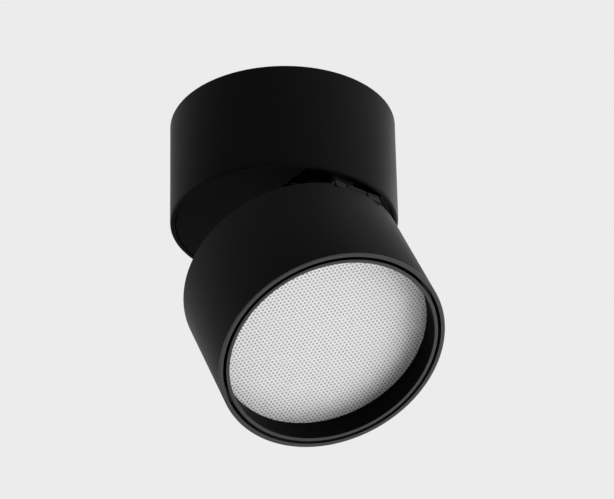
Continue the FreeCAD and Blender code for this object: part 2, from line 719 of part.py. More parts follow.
def make_hinge_bracket():
    half = S.inner_knuckle / 2
    arm_low = disc_top - S.arm_thick
    foot_middle = -S.foot_start - S.foot_length / 2
    foot = block(S.foot_width, S.foot_length, S.arm_thick, (0, foot_middle, arm_low))
    arm_length = arm_end - S.foot_start
    arm_middle = -(arm_end + S.foot_start) / 2
    arm = block(S.inner_knuckle, arm_length, S.arm_thick, (S.hinge_offset, arm_middle, arm_low))
    neck_middle = -arm_end + S.neck_thick / 2
    tongue_low = hinge_z - S.tongue_thick / 2
    neck = block(S.inner_knuckle, S.neck_thick, arm_low - tongue_low,
                 (S.hinge_offset, neck_middle, tongue_low))
    tongue_deep = hinge_reach - arm_end + S.neck_thick
    tongue_middle = -hinge_reach + tongue_deep / 2
    tongue = block(S.inner_knuckle, tongue_deep, S.tongue_thick, (S.hinge_offset, tongue_middle, tongue_low))
    knuckle = hinge_bar(S.knuckle_radius, S.inner_knuckle, S.hinge_offset - half)
    bore = hinge_bar(S.pin_radius + S.running_gap, S.inner_knuckle, S.hinge_offset - half)
    sinks = []
    screws = []
    for x, y in foot_screw_spots():
        passage = cylinder(S.foot_screw_radius + S.clear_gap, S.arm_thick, (x, y, arm_low))
        recess = S.foot_screw_radius * HEAD_RATIO + S.clear_gap
        head_deep = S.foot_screw_radius
        seat = cylinder(recess, head_deep, (x, y, arm_low))
        sinks.extend([passage, seat])
        shank = cylinder(S.foot_screw_radius, S.foot_screw_length + S.arm_thick / 2,
                         (x, y, arm_low + S.arm_thick / 2))
        head = cylinder(S.foot_screw_radius * HEAD_RATIO, head_deep, (x, y, arm_low))
        socket = hexagon(S.foot_screw_radius * KEY_RATIO, head_deep * KEY_SHARE, (x, y, arm_low))
        screws.append(cut(join(shank, head), socket))
    keep("hinge_bracket", cut(join(foot, arm, neck, tongue, knuckle), bore, *sinks))
    keep("bracket_screws", group(*screws))
    washers = []
    for side in SIDES:
        gap_middle = S.hinge_offset + side * (half + S.knuckle_gap / 2)
        start = gap_middle - S.friction_thick / 2
        disc = hinge_bar(S.friction_radius, S.friction_thick, start)
        eye = hinge_bar(S.pin_radius + S.fit_gap, S.friction_thick, start)
        washers.append(cut(disc, eye))
    keep("friction_washers", group(*washers))


# ---- head ------------------------------------------------------------------------------

def head_bar(radius, width, start):
    """A round bar along the hinge axis, in the head's frame."""
    return cylinder(radius, width, (start, -hinge_reach, S.hinge_rise), "X")


def leaf_screw_spots():
    y = -hinge_reach + S.leaf_start + S.leaf_length / 2
    return [(S.hinge_offset + side * S.leaf_screw_spread / 2, y) for side in SIDES]


def make_hinge_leaf():
    floor = -S.notch_depth
    plate_start = -hinge_reach + S.leaf_start
    plate_middle = plate_start + S.leaf_length / 2
    plate = block(knuckles_width, S.leaf_length, S.notch_depth, (S.hinge_offset, plate_middle, floor))
    bodies = [plate]
    bores = []
    front = -S.drum_radius + S.leaf_front
    for side in SIDES:
        middle = S.hinge_offset + side * (knuckles_width / 2 - S.outer_knuckle / 2)
        start = middle - S.outer_knuckle / 2
        cheek_deep = plate_start - front
        cheek_middle = (plate_start + front) / 2
        cheek = block(S.outer_knuckle, cheek_deep, S.hinge_rise - floor, (middle, cheek_middle, floor))
        bodies.extend([cheek, head_bar(S.knuckle_radius, S.outer_knuckle, start)])
        bores.append(head_bar(S.pin_radius + S.pin_seat_gap, S.outer_knuckle, start))
    screws = []
    for x, y in leaf_screw_spots():
        passage = S.leaf_screw_radius + S.thread_gap
        bores.append(cylinder(passage, S.notch_depth, (x, y, floor)))
        bores.append(sink_for(S.leaf_screw_radius, (x, y, 0)))
        screws.append(flat_screw(S.leaf_screw_radius, S.leaf_screw_length, (x, y, 0),
                                 S.leaf_screw_radius * KEY_RATIO))
    keep_in_head("hinge_leaf", cut(join(*bodies), *bores))
    keep_in_head("leaf_screws", group(*screws))
    start = S.hinge_offset - knuckles_width / 2
    keep_in_head("hinge_pin", group(head_bar(S.pin_radius, knuckles_width, start)))


def make_head_housing():
    radius = S.drum_radius
    edge = S.edge_break
    mouth = front_z + S.trim_thick + S.shadow_gap
    step = front_z + S.trim_thick + S.spigot_length + S.fit_gap
    recess = spigot_radius + S.thread_gap
    shell = turned([
        (0, inside_z), (head_bore, inside_z), (head_bore, step), (recess, step), (recess, mouth),
        (radius, mouth), (radius, -edge), (radius - edge, 0), (0, 0),
    ])
    notch_end = S.fit_gap - leaf_end
    notch_length = notch_end + radius
    notch_middle = notch_end - notch_length / 2
    notch = block(knuckles_width + S.notch_margin * 2, notch_length, S.notch_depth,
                  (S.hinge_offset, notch_middle, -S.notch_depth))
    tools = [notch]
    tools.append(cylinder(S.grommet_radius + S.fit_gap, S.rear_thick, (0, -grommet_reach, inside_z)))
    for x, y in leaf_screw_spots():
        tools.append(cylinder(S.leaf_screw_radius + S.thread_gap, S.rear_thick, (x, y, inside_z)))
    for side in SIDES:
        x = side * S.sink_screw_reach
        tools.append(cylinder(S.sink_screw_radius + S.thread_gap, S.rear_thick, (x, 0, inside_z)))
        x = side * holder_screw_reach
        tools.append(cylinder(S.holder_screw_radius + S.thread_gap, S.rear_thick / 2, (x, 0, inside_z)))
    keep_in_head("head_housing", cut(shell, *tools))


def make_heat_sink():
    height = S.sink_base + S.fin_height
    round_bar = cylinder(S.sink_radius, height, (0, 0, 0))
    room = S.sink_radius + sink_flat
    slab = block(S.sink_radius * 2, room, height, (0, (S.sink_radius - sink_flat) / 2, 0))
    fins = [
        block(S.fin_thick, S.sink_radius * 2, S.fin_height,
              (S.fin_pitch * (number - (FIN_COUNT - 1) / 2), 0, S.sink_base))
        for number in range(FIN_COUNT)
    ]
    clearings = []
    posts = []
    holes = []
    screws = []
    post_top = S.sink_base + S.fin_height / 2
    for side in SIDES:
        x = side * S.sink_screw_reach
        clearings.append(cylinder(S.sink_post + S.fin_thick, S.fin_height, (x, 0, S.sink_base)))
        posts.append(cylinder(S.sink_post, post_top, (x, 0, 0)))
        holes.append(cylinder(S.sink_screw_radius + S.clear_gap, post_top, (x, 0, 0)))
        screws.append(screw(S.sink_screw_radius, post_top + S.rear_thick, S.sink_screw_radius * HEAD_RATIO,
                            S.sink_screw_radius, (x, 0, post_top), S.sink_screw_radius * KEY_RATIO))
    base = cylinder(S.sink_radius, S.sink_base, (0, 0, 0))
    combed = join(base, cut(join(*fins), *clearings))
    shaped = common(common(combed, round_bar), slab)
    keep_in_head("heat_sink", cut(join(shaped, *posts), *holes))
    keep_in_head("sink_screws", group(*screws))


def make_light_source():
    back = inside_z - S.pad_thick
    passage = S.holder_screw_radius + S.clear_gap
    pad = cylinder(pad_radius, S.pad_thick, (0, 0, back))
    board = cylinder(led_board_radius, S.board_thick, (0, 0, board_front))
    low = holder_front
    holder = turned([
        (S.led_radius + S.clear_gap, board_front), (S.reflector_throat + S.fit_gap, low),
        (holder_radius - S.edge_break, low), (holder_radius, low + S.edge_break),
        (holder_radius, board_front),
    ])
    pad_holes = []
    board_holes = []
    holder_holes = []
    screws = []
    head_room = S.holder_screw_radius * HEAD_RATIO + S.clear_gap
    for side in SIDES:
        x = side * holder_screw_reach
        pad_holes.append(cylinder(passage, S.pad_thick, (x, 0, back)))
        board_holes.append(cylinder(passage, S.board_thick, (x, 0, board_front)))
        holder_holes.append(cylinder(passage, S.holder_thick, (x, 0, low)))
        seat = low + S.holder_screw_radius
        holder_holes.append(cylinder(head_room, S.holder_screw_radius, (x, 0, low)))
        shank_length = inside_z + S.holder_screw_bite - seat
        shank = cylinder(S.holder_screw_radius, shank_length, (x, 0, seat))
        head = cylinder(S.holder_screw_radius * HEAD_RATIO, S.holder_screw_radius, (x, 0, low))
        socket = hexagon(S.holder_screw_radius * KEY_RATIO, S.holder_screw_radius * KEY_SHARE, (x, 0, low))
        screws.append(cut(join(shank, head), socket))
    keep_in_head("thermal_pad", cut(pad, *pad_holes))
    keep_in_head("led_board", cut(board, *board_holes))
    keep_in_head("led_holder", cut(holder, *holder_holes))
    keep_in_head("holder_screws", group(*screws))
    emitter = ring(0, S.led_radius, board_front - S.led_thick, board_front)
    keep_in_head("led_emitter", emitter)


def make_optics():
    skin = S.reflector_skin
    rim = head_bore - S.fit_gap
    flange_back = gasket_back + S.reflector_flange
    mouth = diffuser_radius - S.gasket_width
    throat_z = holder_front - S.fit_gap
    keep_in_head("reflector", turned([
        (S.reflector_throat, throat_z), (mouth, gasket_back), (rim, gasket_back), (rim, flange_back),
        (mouth + skin / 2, flange_back), (S.reflector_throat + skin, throat_z),
    ]))
    keep_in_head("diffuser_gasket", ring(mouth, diffuser_radius, diffuser_back, gasket_back))
    keep_in_head("diffuser", ring(0, diffuser_radius, diffuser_face, diffuser_back))


def make_front_rings():
    groove_end = front_z + S.groove_depth
    rim = head_bore - S.fit_gap
    seat = diffuser_radius + S.fit_gap
    keep_in_head("baffle_ring", turned([
        (baffle_mouth, front_z), (baffle_radius, front_z), (baffle_radius, groove_end),
        (rim, groove_end), (rim, gasket_back), (seat, gasket_back), (seat, diffuser_face),
        (baffle_throat, diffuser_face),
    ]))
    flange_back = front_z + S.trim_thick
    spigot_end = flange_back + S.spigot_length
    keep_in_head("trim_ring", turned([
        (head_bore, front_z), (S.drum_radius, front_z), (S.drum_radius, flange_back),
        (spigot_radius, flange_back), (spigot_radius, spigot_end), (head_bore, spigot_end),
    ]))


def make_head_wiring():
    neck = S.grommet_radius
    lip = grommet_edge
    lip_top = S.grommet_lip_thick
    below = inside_z - S.grommet_lip_thick
    outline = [
        (S.grommet_bore, below), (lip, below), (lip, inside_z), (neck, inside_z),
        (neck, 0), (lip, 0), (lip, lip_top), (S.grommet_bore, lip_top),
    ]
    grommet = turned(outline)
    place(grommet, (0, -grommet_reach, 0))
    keep_in_head("lead_grommet", group(grommet))
    turn_z = board_front - S.head_lead_radius
    end_y = -led_board_radius + S.head_lead_bend
    leads = []
    for side in SIDES:
        x = side * S.head_lead_spread / 2
        route = [(x, -grommet_reach, lip_top), (x, -grommet_reach, turn_z), (x, end_y, turn_z)]
        leads.append(kept_shape(tube_along(route, S.head_lead_radius, S.head_lead_bend)))
    keep_in_head("led_leads", group(*leads))


make_mounting_plate()
make_canopy_housing()
make_canopy_screws()
make_driver()
make_terminal()
make_swivel_disc()
make_pivot()
make_hinge_bracket()
make_hinge_leaf()
make_head_housing()
make_heat_sink()
make_light_source()
make_optics()
make_front_rings()
make_head_wiring()
doc.recompute()

for thing in doc.Objects:
    if "Invalid" in thing.State or "Error" in thing.State:
        raise RuntimeError(f"{thing.Name} of type {thing.TypeId} did not compute")
for node, thing in nodes.items():
    shape = thing.Shape
    if shape.isNull() or not shape.isValid() or not shape.Solids:
        raise RuntimeError(f"{node} has no valid solid")
    if min(solid.Volume for solid in shape.Solids) < SOLID_CHECK_MARGIN:
        raise RuntimeError(f"{node} holds an empty solid")

os.makedirs("parts", exist_ok=True)
for node, thing in nodes.items():
    thing.Shape.exportStep(os.path.join("parts", f"{node}.step"))
    print(node, len(thing.Shape.Solids), round(thing.Shape.Volume, 1))
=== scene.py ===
import json
import math

import bmesh
import bpy
from mathutils import Matrix, Vector


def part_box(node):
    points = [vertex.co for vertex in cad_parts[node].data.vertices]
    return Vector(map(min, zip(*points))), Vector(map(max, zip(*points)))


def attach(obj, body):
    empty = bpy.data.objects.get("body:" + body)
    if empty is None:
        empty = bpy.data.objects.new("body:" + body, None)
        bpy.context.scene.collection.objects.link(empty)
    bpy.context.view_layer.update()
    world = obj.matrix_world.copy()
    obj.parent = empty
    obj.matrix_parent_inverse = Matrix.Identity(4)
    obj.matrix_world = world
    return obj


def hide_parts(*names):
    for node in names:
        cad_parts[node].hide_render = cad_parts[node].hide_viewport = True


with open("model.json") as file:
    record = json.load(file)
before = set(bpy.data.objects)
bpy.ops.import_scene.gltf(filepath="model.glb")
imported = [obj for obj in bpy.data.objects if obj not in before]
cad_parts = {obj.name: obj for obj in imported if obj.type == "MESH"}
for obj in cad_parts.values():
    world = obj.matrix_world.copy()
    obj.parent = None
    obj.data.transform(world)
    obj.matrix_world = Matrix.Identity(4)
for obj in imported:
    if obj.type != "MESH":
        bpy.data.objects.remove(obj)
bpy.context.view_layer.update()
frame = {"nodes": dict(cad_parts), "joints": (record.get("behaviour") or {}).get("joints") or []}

MM = 0.001
nodes = frame["nodes"]
joints = {joint["name"]: joint for joint in frame["joints"]}


# ---- places taken from the frame -------------------------------------------------------

def low(node, axis):
    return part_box(node)[0][axis]


def high(node, axis):
    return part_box(node)[1][axis]


HINGE = Vector(joints["tilt"]["pos_m"])
REST_TILT = -math.radians(joints["tilt"]["range_deg"][0])
TO_REST = Matrix.Translation(HINGE) @ Matrix.Rotation(-REST_TILT, 4, "X") @ Matrix.Translation(-HINGE)

# Canopy
RADIUS = high("canopy_housing", 0)
LIP_Z = low("canopy_housing", 2)
CANOPY_WALL = 2.0 * MM
WEB_RISE = 10.2 * MM
WEB_THICK = 2.5 * MM
WEB_LOW = LIP_Z + WEB_RISE
WEB_TOP = WEB_LOW + WEB_THICK
PIVOT_BORE = 5.05 * MM
SIDE_SCREW_HOLE = 2.2 * MM
SIDE_SCREW_TURN = math.radians(-38)
SIDE_SCREW_Z = -6.0 * MM
POST_PLACE = 40.5 * MM
POST_RADIUS = 4.0 * MM
POST_HEIGHT = 10.0 * MM
LUG_HALF = 1.3 * MM
LUG_MIDDLE = 30.0 * MM
LUG_HALF_LENGTH = 2.5 * MM
LUG_DROP = 3.0 * MM

# Head, drawn closed: its axis is the canopy's, its rear face just under the hinge axis.
HINGE_RISE = 1.7 * MM
HEAD_LENGTH = 54.1 * MM
HEAD_WALL = 1.8 * MM
REAR_WALL = 4.5 * MM
REAR_Z = HINGE.z - HINGE_RISE
FRONT_Z = REAR_Z - HEAD_LENGTH
KNUCKLES_MIDDLE = 1.5 * MM
NOTCH_HALF = 13.0 * MM
NOTCH_DEEP = 2.1 * MM
LEAF_LENGTH = 10.4 * MM
LEAF_END = -HINGE.y - LEAF_LENGTH
LEAF_SCREW_PLACE = 7.5 * MM
LEAF_SCREW_INSET = 4.0 * MM
LEAF_SCREW_HOLE = 1.3 * MM
LEAD_HOLE = 3.5 * MM
LEAD_PLACE = 29.0 * MM
SINK_SCREW_PLACE = 25.0 * MM
SCREW_BORE = 1.55 * MM

# Front ring, groove, baffle and diffuser
TRIM_THICK = 0.6 * MM
TRIM_SPIGOT = 0.75 * MM
SPIGOT_LENGTH = 4.0 * MM
SHADOW_GAP = 0.3 * MM
GROOVE_WIDTH = 1.35 * MM
GROOVE_DEEP = 8.0 * MM
RING_WIDTH = 1.55 * MM
THROAT_DRAFT = 0.45 * MM
GROOVE_OUTER = RADIUS - HEAD_WALL
RING_OUTER = GROOVE_OUTER - GROOVE_WIDTH
RING_INNER = RING_OUTER - RING_WIDTH
THROAT = RING_INNER + THROAT_DRAFT
# Faces turned to the front more than this take the lighter ring coat, which is painted light.
PAINTED_LIGHT_FACING = 0.5
RECESS = 11.7 * MM
SEAT_BEHIND = 1.6 * MM
DIFFUSER_LAP = 0.7 * MM
DIFFUSER_RADIUS = THROAT + DIFFUSER_LAP
DIFFUSER_THICK = 2.2 * MM
DIMPLE_PITCH = 1.74 * MM
DIMPLE_RADIUS = 0.47 * MM
DIMPLE_DEEP = 0.10 * MM
DIMPLE_TURN = math.radians(-36.2)
DIMPLE_SHAPE = ((1.0, 0.0), (0.8, 0.45), (0.4, 0.9))

# Edges, clearances and the fineness of the meshes
LIP_ROUND = 1.2 * MM
EDGE_ROUND = 0.4 * MM
FINE_ROUND = 0.12 * MM
TRIM_ROUND = 0.18 * MM
TRIM_BACK_ROUND = 0.1 * MM
BROKEN_EDGE = 0.15 * MM
FIT_GAP = 0.1 * MM
CUT_PAST = 1.0 * MM
WALL_CUT = (0.9, 1.1)
ROUND_STEPS = 6
AROUND = 256
HOLE_STEPS = 48
POST_STEPS = 64
DIMPLE_STEPS = 12
SMOOTH_ANGLE = math.radians(30)


# ---- shader helpers --------------------------------------------------------------------

def new_material(name):
    """A material with a Principled shader and nothing else."""
    material = bpy.data.materials.new(name)
    material.use_nodes = True
    tree = material.node_tree
    tree.nodes.clear()
    output = tree.nodes.new("ShaderNodeOutputMaterial")
    shader = tree.nodes.new("ShaderNodeBsdfPrincipled")
    tree.links.new(shader.outputs["BSDF"], output.inputs["Surface"])
    return material, tree, shader


def new_group(name, inputs, outputs):
    """A shader node group with named float or colour sockets."""
    group = bpy.data.node_groups.new(name, "ShaderNodeTree")
    for label, kind, default in inputs:
        socket = group.interface.new_socket(label, in_out="INPUT", socket_type=kind)
        socket.default_value = default
    for label, kind in outputs:
        group.interface.new_socket(label, in_out="OUTPUT", socket_type=kind)
    source = group.nodes.new("NodeGroupInput")
    result = group.nodes.new("NodeGroupOutput")
    return group, source, result


def add(tree, kind, **settings):
    """A node with its settings, and its inputs set by name through inputs=."""
    inputs = settings.pop("inputs", {})
    node = tree.nodes.new(kind)
    for label, value in settings.items():
        setattr(node, label, value)
    for label, value in inputs.items():
        node.inputs[label].default_value = value
    return node


def noise(tree, coordinates, scale, detail=2.0, roughness=0.5):
    node = add(tree, "ShaderNodeTexNoise", inputs={"Detail": detail, "Roughness": roughness})
    tree.links.new(coordinates, node.inputs["Vector"])
    if isinstance(scale, (int, float)):
        node.inputs["Scale"].default_value = scale
    else:
        tree.links.new(scale, node.inputs["Scale"])
    return node.outputs["Fac"]


def arithmetic(tree, operation, first, second):
    node = add(tree, "ShaderNodeMath", operation=operation)
    for number, value in enumerate((first, second)):
        if isinstance(value, (int, float)):
            node.inputs[number].default_value = value
        else:
            tree.links.new(value, node.inputs[number])
    return node.outputs[0]


def between(tree, factor, first, second):
    """Mix two colours by a factor."""
    node = add(tree, "ShaderNodeMix", data_type="RGBA")
    tree.links.new(factor, node.inputs["Factor"])
    for label, value in (("A", first), ("B", second)):
        socket = [entry for entry in node.inputs if entry.name == label and entry.type == "RGBA"][0]
        if isinstance(value, tuple):
            socket.default_value = value
        else:
            tree.links.new(value, socket)
    return [entry for entry in node.outputs if entry.type == "RGBA"][0]


def rescale(tree, value, from_low, from_high, to_low, to_high):
    node = add(tree, "ShaderNodeMapRange")
    tree.links.new(value, node.inputs["Value"])
    for label, number in (("From Min", from_low), ("From Max", from_high)):
        node.inputs[label].default_value = number
    for label, number in (("To Min", to_low), ("To Max", to_high)):
        if isinstance(number, (int, float)):
            node.inputs[label].default_value = number
        else:
            tree.links.new(number, node.inputs[label])
    return node.outputs["Result"]


COLOUR = "NodeSocketColor"
FLOAT = "NodeSocketFloat"


def build_grain_group():
    """Fine grain of powder coat, moulded plastic or rubber: colour, roughness and height."""
    group, source, result = new_group(
        "surface_grain",
        [("Dark", COLOUR, (0.01, 0.01, 0.01, 1)), ("Light", COLOUR, (0.02, 0.02, 0.02, 1)),
         ("Grain Scale", FLOAT, 2500.0), ("Smooth Low", FLOAT, 0.4), ("Smooth High", FLOAT, 0.5)],
        [("Color", COLOUR), ("Roughness", FLOAT), ("Height", FLOAT)])
    place = add(group, "ShaderNodeTexCoord").outputs["Object"]
    fine = noise(group, place, source.outputs["Grain Scale"], detail=2.0, roughness=0.6)
    coarse_scale = arithmetic(group, "MULTIPLY", source.outputs["Grain Scale"], 0.35)
    coarse = noise(group, place, coarse_scale, detail=2.0)
    cloud = noise(group, place, 28.0, detail=2.0)
    mixed = arithmetic(group, "ADD", arithmetic(group, "MULTIPLY", fine, 0.6),
                       arithmetic(group, "MULTIPLY", cloud, 0.4))
    spread = rescale(group, mixed, 0.32, 0.68, 0.0, 1.0)
    colour = between(group, spread, source.outputs["Dark"], source.outputs["Light"])
    rough = rescale(group, cloud, 0.3, 0.7, source.outputs["Smooth Low"], source.outputs["Smooth High"])
    height = arithmetic(group, "ADD", arithmetic(group, "MULTIPLY", coarse, 0.4),
                        arithmetic(group, "MULTIPLY", fine, 0.6))
    group.links.new(colour, result.inputs["Color"])
    group.links.new(rough, result.inputs["Roughness"])
    group.links.new(height, result.inputs["Height"])
    return group


GRAIN = build_grain_group()


def grained(name, dark, light, scale, smooth, bump, bump_distance, **sockets):
    """A material of one grained finish."""
    material, tree, shader = new_material(name)
    grain = add(tree, "ShaderNodeGroup", node_tree=GRAIN)
    grain.inputs["Dark"].default_value = (*dark, 1)
    grain.inputs["Light"].default_value = (*light, 1)
    grain.inputs["Grain Scale"].default_value = scale
    grain.inputs["Smooth Low"].default_value = smooth[0]
    grain.inputs["Smooth High"].default_value = smooth[1]
    relief = add(tree, "ShaderNodeBump", inputs={"Strength": bump, "Distance": bump_distance})
    tree.links.new(grain.outputs["Color"], shader.inputs["Base Color"])
    tree.links.new(grain.outputs["Roughness"], shader.inputs["Roughness"])
    tree.links.new(grain.outputs["Height"], relief.inputs["Height"])
    tree.links.new(relief.outputs["Normal"], shader.inputs["Normal"])
    for label, value in sockets.items():
        shader.inputs[label.replace("_", " ")].default_value = value
    return material


# ---- finishes --------------------------------------------------------------------------

def tone(value, warmth=0.0):
    return (value * (1 + warmth), value, value * (1 - warmth))


SOFT_SHEEN = {"Specular_IOR_Level": 0.03}
DULL_SHEEN = {"Specular_IOR_Level": 0.02}
DISC_SHEEN = {"Specular_IOR_Level": 0.055}
body_coat = grained("black_powder_coat", tone(0.008), tone(0.012),
                    2600, (0.40, 0.48), 0.2, 0.00005, **SOFT_SHEEN)
# Lighter, glossier copy of the black coat: painted light for the front rings, standing in for the light they
# catch from below and in front.
ring_painted_light = grained("black_ring_painted_light", tone(0.022), tone(0.032), 2600, (0.36, 0.44), 0.15, 0.00004,
                    Specular_IOR_Level=0.3)
disc_coat = grained("black_disc_coat", tone(0.005), tone(0.008),
                    2600, (0.2, 0.26), 0.06, 0.00003, **DISC_SHEEN)
baffle_black = grained("matt_baffle_black", tone(0.003), tone(0.005),
                       3200, (0.5, 0.6), 0.2, 0.00005, **DULL_SHEEN)
hinge_black = grained("hinge_black", tone(0.02), tone(0.03),
                      2800, (0.38, 0.48), 0.15, 0.00004, **SOFT_SHEEN)
screw_black = grained("black_oxide_steel", tone(0.03), tone(0.05),
                      3000, (0.3, 0.42), 0.1, 0.00003, Metallic=0.8)
zinc = grained("zinc_plate", tone(0.5, -0.01), tone(0.66, -0.01),
               900, (0.28, 0.42), 0.08, 0.00004, Metallic=1.0)
nickel = grained("nickel_tube", tone(0.5, 0.03), tone(0.62, 0.03),
                 1400, (0.2, 0.32), 0.05, 0.00003, Metallic=1.0)
pin_steel = grained("pin_steel", tone(0.45), tone(0.58), 2000, (0.22, 0.34), 0.05, 0.00002, Metallic=1.0)
brass = grained("brass_screws", (0.55, 0.38, 0.14), (0.68, 0.5, 0.2),
                1600, (0.24, 0.36), 0.06, 0.00003, Metallic=1.0)
nylon = grained("nylon", tone(0.62, 0.03), tone(0.7, 0.03), 1800, (0.4, 0.5), 0.08, 0.00004)
rubber = grained("black_rubber", tone(0.012), tone(0.02), 2200, (0.6, 0.75), 0.2, 0.00005)
white_plastic = grained("white_case_plastic", tone(0.68, 0.01), tone(0.74, 0.01),
                        1900, (0.42, 0.52), 0.15, 0.00005)
cream_plastic = grained("terminal_polyamide", tone(0.58, 0.05), tone(0.66, 0.05),
                        1700, (0.4, 0.5), 0.12, 0.00005)
board_green = grained("circuit_board", (0.012, 0.09, 0.035), (0.02, 0.14, 0.055),
                      1200, (0.25, 0.35), 0.1, 0.00004)
lead_skin = grained("lead_insulation", (0.3, 0.05, 0.02), (0.38, 0.07, 0.03),
                    1600, (0.38, 0.48), 0.08, 0.00004)
sink_black = grained("black_anodised", tone(0.014), tone(0.022), 1500, (0.36, 0.48), 0.12, 0.00004)
pad_grey = grained("thermal_pad", tone(0.25, -0.02), tone(0.32, -0.02), 1500, (0.7, 0.8), 0.2, 0.00006)
board_white = grained("white_solder_mask", tone(0.7), tone(0.78), 1600, (0.3, 0.4), 0.05, 0.00003)
phosphor = grained("phosphor_silicone", (0.75, 0.5, 0.06), (0.85, 0.6, 0.1),
                   1400, (0.25, 0.35), 0.12, 0.00005)
holder_white = grained("holder_plastic", tone(0.7), tone(0.76), 1800, (0.4, 0.5), 0.1, 0.00004)
acrylic = grained("opal_acrylic", tone(0.88), tone(0.93), 2400, (0.32, 0.42), 0.05, 0.00003)
# Darker copy of the acrylic for the dimples' pits: painted shade in the hollows.
dimple_painted_shade = grained("dimple_painted_shade", tone(0.34), tone(0.40), 2400, (0.32, 0.42), 0.05, 0.00003)
reflector_white = grained("reflector_plastic", tone(0.72), tone(0.8), 1600, (0.12, 0.2), 0.03, 0.00003)

floor_paint = grained("floor_paint", tone(0.78), tone(0.82), 60, (0.6, 0.7), 0.05, 0.0005)

# The trim ring's lighter ring coat is painted light.
FINISHES = {
    "canopy_housing": body_coat, "mounting_plate": zinc, "canopy_screws": screw_black,
    "driver_case": white_plastic, "driver_lid": white_plastic, "driver_board": board_green,
    "driver_screws": zinc, "terminal_block": cream_plastic, "terminal_screws": brass,
    "mains_leads": lead_skin, "driver_lead": rubber, "glide_ring": nylon,
    "swivel_disc": disc_coat, "stop_pin": pin_steel, "pivot_tube": nickel, "pivot_washer": zinc,
    "pivot_nut": zinc, "cable_bush": rubber, "hinge_bracket": hinge_black,
    "bracket_screws": screw_black, "friction_washers": baffle_black, "hinge_leaf": hinge_black,
    "leaf_screws": screw_black, "hinge_pin": pin_steel, "head_housing": body_coat,
    "heat_sink": sink_black, "sink_screws": screw_black, "thermal_pad": pad_grey,
    "led_board": board_white, "led_emitter": phosphor, "led_holder": holder_white,
    "holder_screws": zinc, "reflector": reflector_white, "diffuser_gasket": rubber,
    "diffuser": acrylic, "baffle_ring": baffle_black, "trim_ring": ring_painted_light,
    "lead_grommet": rubber, "led_leads": lead_skin,
}


def dress(piece, *materials):
    """Give a piece its materials; clearing an empty list would reset its faces' choice."""
    if piece.data.materials:
        piece.data.materials.clear()
    for material in materials:
        piece.data.materials.append(material)


def soften(piece, width):
    """Break a machined piece's sharp edges and shade it smoothly."""
    bevel = piece.modifiers.new("broken_edges", "BEVEL")
    bevel.width = width
    bevel.segments = 2
    bevel.limit_method = "ANGLE"
    bevel.angle_limit = SMOOTH_ANGLE
    bevel.harden_normals = True


for node, material in FINISHES.items():
    dress(nodes[node], material)
for node in ("hinge_bracket", "hinge_leaf", "heat_sink", "driver_case", "driver_lid", "terminal_block",
             "mounting_plate"):
    soften(nodes[node], BROKEN_EDGE)


# ---- mesh helpers ----------------------------------------------------------------------

def rounded(profile):
    """Round the corners of a closed (radius, height, round) outline with short arcs."""
    points = []
    count = len(profile)
    for index, (radius, height, round_by) in enumerate(profile):
        here = Vector((radius, height))
        if round_by == 0:
            points.append(here)
            continue
        before = Vector(profile[index - 1][:2])
        after = Vector(profile[(index + 1) % count][:2])
        back = (before - here).normalized()
        ahead = (after - here).normalized()
        half = back.angle(ahead) / 2
        setback = round_by / math.tan(half)
        first = here + back * setback
        last = here + ahead * setback
        centre = here + (back + ahead).normalized() * (round_by / math.sin(half))
        start = first - centre
        sweep = math.pi - 2 * half
        side = 1 if start.x * (last - centre).y - start.y * (last - centre).x > 0 else -1
        for step in range(ROUND_STEPS + 1):
            angle = side * sweep * step / ROUND_STEPS
            turn = Matrix.Rotation(angle, 2)
            points.append(centre + turn @ start)
    return points


def lathe(name, profile, body, slot, material, replaced, head=False, place=(0, 0), around=AROUND):
    """A piece turned about an upright line from a closed outline."""
    points = rounded(profile)
    mesh = bpy.data.meshes.new(name)
    shape = bmesh.new()
    loops = []
    for number in range(around):
        angle = 2 * math.pi * number / around
        across = math.cos(angle)
        along = math.sin(angle)
        loops.append([
            shape.verts.new((place[0] + p.x * across, place[1] + p.x * along, p.y)) for p in points
        ])
    count = len(points)
    for number in range(around):
        near = loops[number]
        far = loops[(number + 1) % around]
        for index in range(count):
            following = (index + 1) % count
            shape.faces.new((near[index], near[following], far[following], far[index]))
    bmesh.ops.remove_doubles(shape, verts=shape.verts, dist=1e-7)
    bmesh.ops.dissolve_degenerate(shape, edges=shape.edges, dist=1e-8)
    bmesh.ops.recalc_face_normals(shape, faces=shape.faces)
    shape.to_mesh(mesh)
    shape.free()
    return new_piece(name, mesh, body, (material,), replaced, head)


def new_piece(name, mesh, body, materials, replaced, head=False):
    """Put a mesh in the scene on its body; head meshes are drawn closed and turned to rest."""
    if head:
        mesh.transform(TO_REST)
    piece = bpy.data.objects.new(name, mesh)
    bpy.context.scene.collection.objects.link(piece)
    finish_piece(piece, body, materials, replaced)
    return piece


def finish_piece(piece, body, materials, replaced):
    piece.data.shade_smooth()
    piece.data.set_sharp_from_angle(angle=SMOOTH_ANGLE)
    dress(piece, *materials)
    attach(piece, body)
    if replaced:
        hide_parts(*replaced)


def bore_out(piece, cutters):
    """Cut holes and windows out of a piece for good."""
    for cutter in cutters:
        modifier = piece.modifiers.new("cut", "BOOLEAN")
        modifier.operation = "DIFFERENCE"
        modifier.solver = "EXACT"
        modifier.object = cutter
    bpy.context.view_layer.update()
    graph = bpy.context.evaluated_depsgraph_get()
    mesh = bpy.data.meshes.new_from_object(piece.evaluated_get(graph))
    piece.modifiers.clear()
    old = piece.data
    piece.data = mesh
    bpy.data.meshes.remove(old)
    for cutter in cutters:
        bpy.data.objects.remove(cutter)
    piece.data.shade_smooth()
    piece.data.set_sharp_from_angle(angle=SMOOTH_ANGLE)


